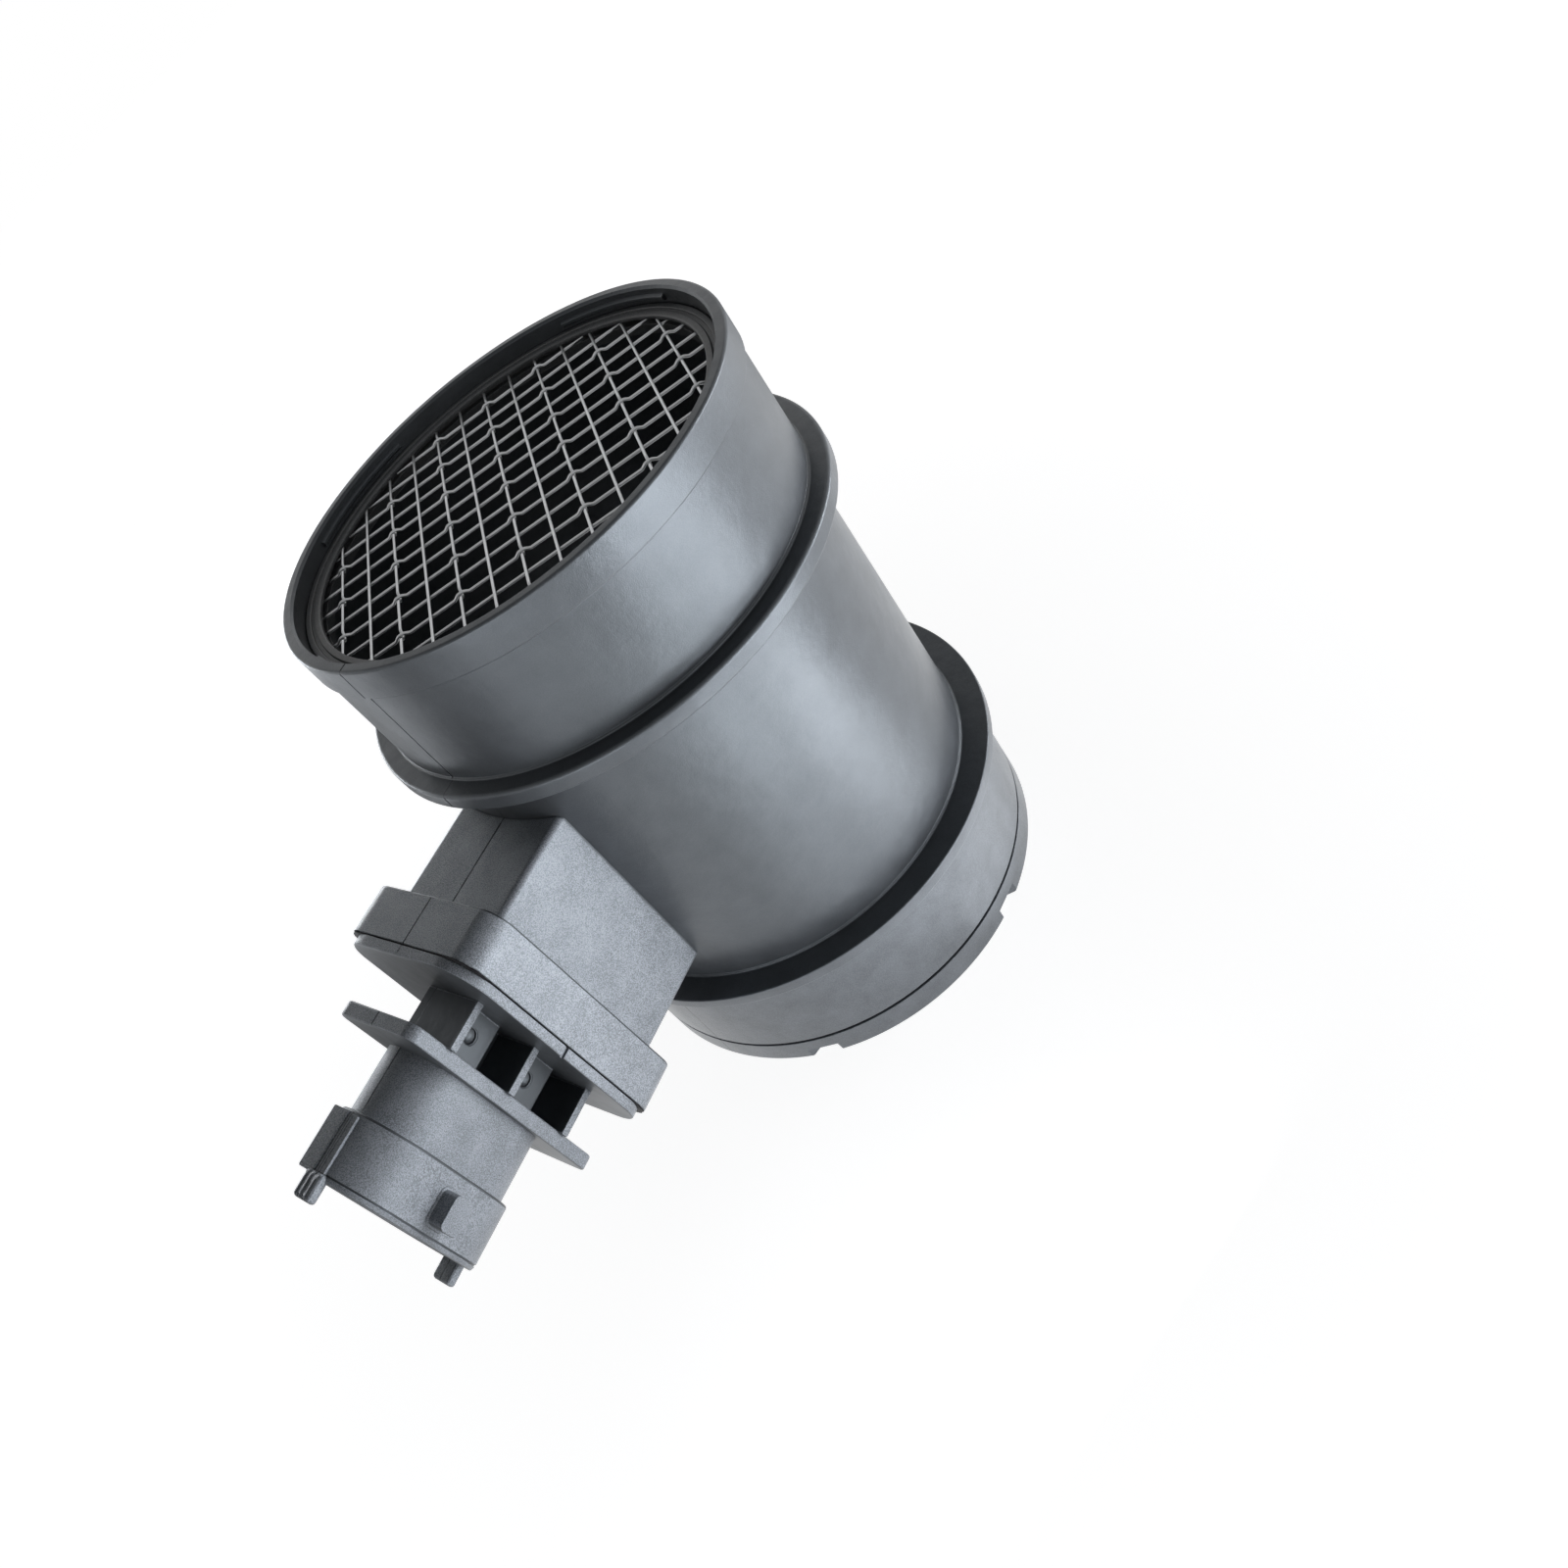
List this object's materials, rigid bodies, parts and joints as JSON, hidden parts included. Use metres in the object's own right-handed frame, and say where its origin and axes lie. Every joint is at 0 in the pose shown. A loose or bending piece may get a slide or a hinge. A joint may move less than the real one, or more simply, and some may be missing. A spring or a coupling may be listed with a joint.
{
  "type": "mass airflow sensor",
  "caption": "Moulded air duct with hose ends, two flanges and a wire screen in its inlet, and a plug-in sensor module with an oval electrical socket.",
  "frame": {"origin": "centre of the outlet's end face, on the duct's axis", "axes": "+Z along the duct's axis towards the inlet and its screen, -X towards the sensor module and its socket, -Y the side with the latch nub"},
  "size_m": [0.1485, 0.0906, 0.113],
  "materials": {
    "duct_plastic": "satin, fine mould grain",
    "module_plastic": "satin, fine mould grain",
    "ring_plastic": "satin",
    "screen_wire": "drawn stainless wire",
    "sealant": "cured silicone",
    "seal_rubber": "moulded rubber",
    "cover_plastic": "satin",
    "carrier_aluminium": "rolled",
    "board_ceramic": "fired, matt",
    "holder_plastic": "moulded epoxy",
    "chip_ceramic": "polished silicon",
    "package_plastic": "moulded epoxy",
    "terminal_metal": "tin plated",
    "bead_glass": "glazed",
    "lead_metal": "tinned wire"
  },
  "bodies": {
    "root": {"tube_housing": "duct_plastic", "screen_ring": "ring_plastic", "sensor_body": "module_plastic", "sealant_bead": "sealant", "finger_seal": "seal_rubber", "electronics_cover": "cover_plastic", "channel_cover": "cover_plastic", "carrier_plate": "carrier_aluminium", "circuit_board": "board_ceramic", "chip_holder": "holder_plastic", "sensing_chip": "chip_ceramic", "signal_chip": "package_plastic", "thermistor": "bead_glass", "thermistor_lead_1": "lead_metal", "thermistor_lead_2": "lead_metal", "screen_warp_01": "screen_wire", "screen_warp_02": "screen_wire", "screen_warp_03": "screen_wire", "screen_warp_04": "screen_wire", "screen_warp_05": "screen_wire", "screen_warp_06": "screen_wire", "screen_warp_07": "screen_wire", "screen_warp_08": "screen_wire", "screen_warp_09": "screen_wire", "screen_warp_10": "screen_wire", "screen_warp_11": "screen_wire", "screen_warp_12": "screen_wire", "screen_warp_13": "screen_wire", "screen_weft_01": "screen_wire", "screen_weft_02": "screen_wire", "screen_weft_03": "screen_wire", "screen_weft_04": "screen_wire", "screen_weft_05": "screen_wire", "screen_weft_06": "screen_wire", "screen_weft_07": "screen_wire", "screen_weft_08": "screen_wire", "screen_weft_09": "screen_wire", "screen_weft_10": "screen_wire", "screen_weft_11": "screen_wire", "screen_weft_12": "screen_wire", "screen_weft_13": "screen_wire", "terminal_1": "terminal_metal", "terminal_2": "terminal_metal", "terminal_3": "terminal_metal", "terminal_4": "terminal_metal", "terminal_5": "terminal_metal"}
  },
  "joints": []
}
